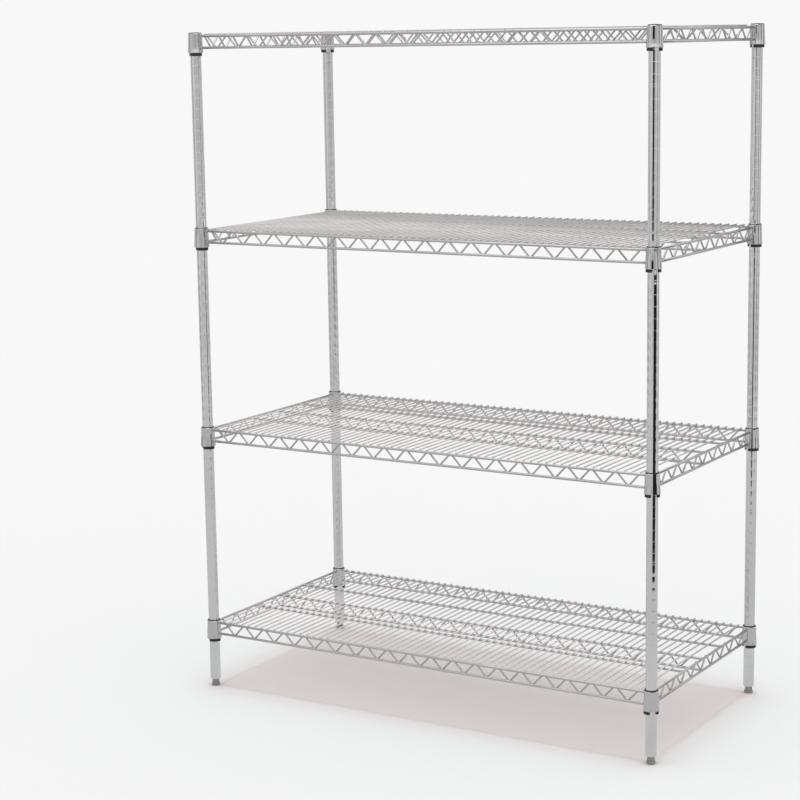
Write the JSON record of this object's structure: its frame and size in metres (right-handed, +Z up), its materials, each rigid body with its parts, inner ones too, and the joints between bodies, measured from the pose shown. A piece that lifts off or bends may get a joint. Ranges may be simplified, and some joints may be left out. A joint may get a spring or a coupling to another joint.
{
  "type": "wire shelving rack",
  "caption": "Tall chrome wire shelving rack: round grooved posts, open wire shelves with zigzag trussed edges, corner collars on split sleeves, and levelling feet.",
  "frame": {"origin": "on the floor, under the middle of the rack", "axes": "+X along the shelves to the right as seen from the front, +Y to the back, +Z up"},
  "size_m": [1.2114, 0.6022, 1.592],
  "materials": {
    "post_chrome": "bright chrome plate",
    "wire_chrome": "bright chrome plate over welded wire",
    "collar_chrome": "bright chrome plate",
    "cap_plastic": "moulded grey plastic",
    "insert_steel": "zinc plate",
    "bolt_steel": "zinc plate",
    "glide_nylon": "moulded grey nylon",
    "sleeve_plastic": "moulded black plastic"
  },
  "bodies": {
    "posts": {"front_left_post": "post_chrome", "front_left_cap": "cap_plastic", "front_left_insert": "insert_steel", "front_right_post": "post_chrome", "front_right_cap": "cap_plastic", "front_right_insert": "insert_steel", "back_left_post": "post_chrome", "back_left_cap": "cap_plastic", "back_left_insert": "insert_steel", "back_right_post": "post_chrome", "back_right_cap": "cap_plastic", "back_right_insert": "insert_steel", "bottom_shelf_sleeves": "sleeve_plastic", "lower_shelf_sleeves": "sleeve_plastic", "upper_shelf_sleeves": "sleeve_plastic", "top_shelf_sleeves": "sleeve_plastic"},
    "bottom_shelf": {"bottom_shelf_collars": "collar_chrome", "bottom_shelf_top_rim": "wire_chrome", "bottom_shelf_bottom_rim": "wire_chrome", "bottom_shelf_front_truss": "wire_chrome", "bottom_shelf_back_truss": "wire_chrome", "bottom_shelf_end_trusses": "wire_chrome", "bottom_shelf_centre_truss": "wire_chrome", "bottom_shelf_runners": "wire_chrome", "bottom_shelf_deck_wires": "wire_chrome"},
    "lower_shelf": {"lower_shelf_collars": "collar_chrome", "lower_shelf_top_rim": "wire_chrome", "lower_shelf_bottom_rim": "wire_chrome", "lower_shelf_front_truss": "wire_chrome", "lower_shelf_back_truss": "wire_chrome", "lower_shelf_end_trusses": "wire_chrome", "lower_shelf_centre_truss": "wire_chrome", "lower_shelf_runners": "wire_chrome", "lower_shelf_deck_wires": "wire_chrome"},
    "upper_shelf": {"upper_shelf_collars": "collar_chrome", "upper_shelf_top_rim": "wire_chrome", "upper_shelf_bottom_rim": "wire_chrome", "upper_shelf_front_truss": "wire_chrome", "upper_shelf_back_truss": "wire_chrome", "upper_shelf_end_trusses": "wire_chrome", "upper_shelf_centre_truss": "wire_chrome", "upper_shelf_runners": "wire_chrome", "upper_shelf_deck_wires": "wire_chrome"},
    "top_shelf": {"top_shelf_collars": "collar_chrome", "top_shelf_top_rim": "wire_chrome", "top_shelf_bottom_rim": "wire_chrome", "top_shelf_front_truss": "wire_chrome", "top_shelf_back_truss": "wire_chrome", "top_shelf_end_trusses": "wire_chrome", "top_shelf_centre_truss": "wire_chrome", "top_shelf_runners": "wire_chrome", "top_shelf_deck_wires": "wire_chrome"},
    "front_left_foot_pad": {"front_left_glide": "glide_nylon"},
    "front_left_foot_screw": {"front_left_bolt": "bolt_steel"},
    "front_right_foot_pad": {"front_right_glide": "glide_nylon"},
    "front_right_foot_screw": {"front_right_bolt": "bolt_steel"},
    "back_left_foot_pad": {"back_left_glide": "glide_nylon"},
    "back_left_foot_screw": {"back_left_bolt": "bolt_steel"},
    "back_right_foot_pad": {"back_right_glide": "glide_nylon"},
    "back_right_foot_screw": {"back_right_bolt": "bolt_steel"}
  },
  "joints": [
    {"name": "bottom_shelf_lift", "type": "slide", "parent": "posts", "child": "bottom_shelf", "axis": [0, 0, 1], "range_m": [0, 0.42]},
    {"name": "lower_shelf_lift", "type": "slide", "parent": "posts", "child": "lower_shelf", "axis": [0, 0, 1], "range_m": [0, 0.42]},
    {"name": "upper_shelf_lift", "type": "slide", "parent": "posts", "child": "upper_shelf", "axis": [0, 0, 1], "range_m": [0, 0.395]},
    {"name": "top_shelf_lift", "type": "slide", "parent": "posts", "child": "top_shelf", "axis": [0, 0, 1], "range_m": [0, 0.1]},
    {"name": "front_left_foot_extend", "type": "slide", "parent": "posts", "child": "front_left_foot_pad", "axis": [0, 0, -1], "range_m": [0, 0.018]},
    {"name": "front_left_foot_turn", "type": "hinge", "parent": "front_left_foot_pad", "child": "front_left_foot_screw", "pos_m": [-0.5875, -0.283, 0], "axis": [0, 0, -1], "range_deg": [0, 4320]},
    {"name": "front_right_foot_extend", "type": "slide", "parent": "posts", "child": "front_right_foot_pad", "axis": [0, 0, -1], "range_m": [0, 0.018]},
    {"name": "front_right_foot_turn", "type": "hinge", "parent": "front_right_foot_pad", "child": "front_right_foot_screw", "pos_m": [0.5875, -0.283, 0], "axis": [0, 0, -1], "range_deg": [0, 4320]},
    {"name": "back_left_foot_extend", "type": "slide", "parent": "posts", "child": "back_left_foot_pad", "axis": [0, 0, -1], "range_m": [0, 0.018]},
    {"name": "back_left_foot_turn", "type": "hinge", "parent": "back_left_foot_pad", "child": "back_left_foot_screw", "pos_m": [-0.5875, 0.283, 0], "axis": [0, 0, -1], "range_deg": [0, 4320]},
    {"name": "back_right_foot_extend", "type": "slide", "parent": "posts", "child": "back_right_foot_pad", "axis": [0, 0, -1], "range_m": [0, 0.018]},
    {"name": "back_right_foot_turn", "type": "hinge", "parent": "back_right_foot_pad", "child": "back_right_foot_screw", "pos_m": [0.5875, 0.283, 0], "axis": [0, 0, -1], "range_deg": [0, 4320]}
  ],
  "couplings": [
    {"joint": "front_left_foot_turn", "follows": "front_left_foot_extend", "rad_per_m": 4188.8},
    {"joint": "front_right_foot_turn", "follows": "front_right_foot_extend", "rad_per_m": 4188.8},
    {"joint": "back_left_foot_turn", "follows": "back_left_foot_extend", "rad_per_m": 4188.8},
    {"joint": "back_right_foot_turn", "follows": "back_right_foot_extend", "rad_per_m": 4188.8}
  ]
}
